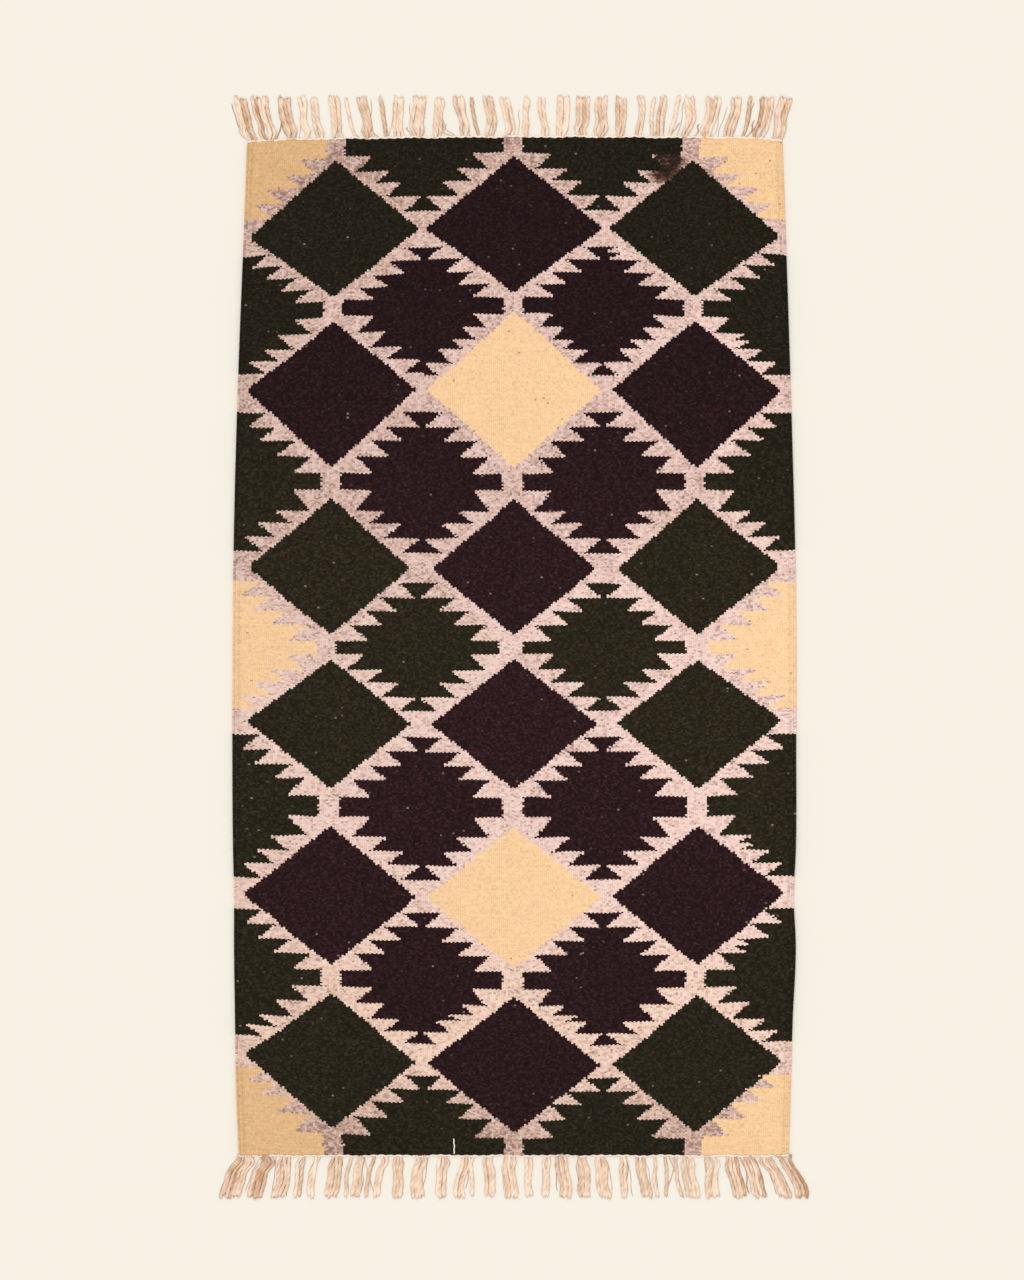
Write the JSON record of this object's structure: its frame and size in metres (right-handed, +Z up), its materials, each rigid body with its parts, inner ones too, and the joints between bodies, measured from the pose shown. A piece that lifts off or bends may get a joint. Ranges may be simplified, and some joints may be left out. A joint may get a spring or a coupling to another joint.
{
  "type": "dhurrie rug",
  "caption": "Flat-woven rectangular floor rug with serrated diamonds in rows, slightly bowed sides and a knotted warp fringe along each short end.",
  "frame": {"origin": "middle of the rug's outline, fringes included, on the floor that it lies on", "axes": "+X across the rug, +Y along its length towards the far fringe, +Z up out of its face"},
  "size_m": [0.8665, 1.63, 0.0056],
  "materials": {
    "woven_wool": "matt weft-faced wool, dark green and aubergine diamonds with pale yellow ones on heathered pink",
    "cotton_fringe": "matt twisted cotton yarn, undyed peach beige"
  },
  "bodies": {
    "root": {"woven_cloth": "woven_wool", "fringe_far": "cotton_fringe", "fringe_near": "cotton_fringe"}
  },
  "joints": []
}
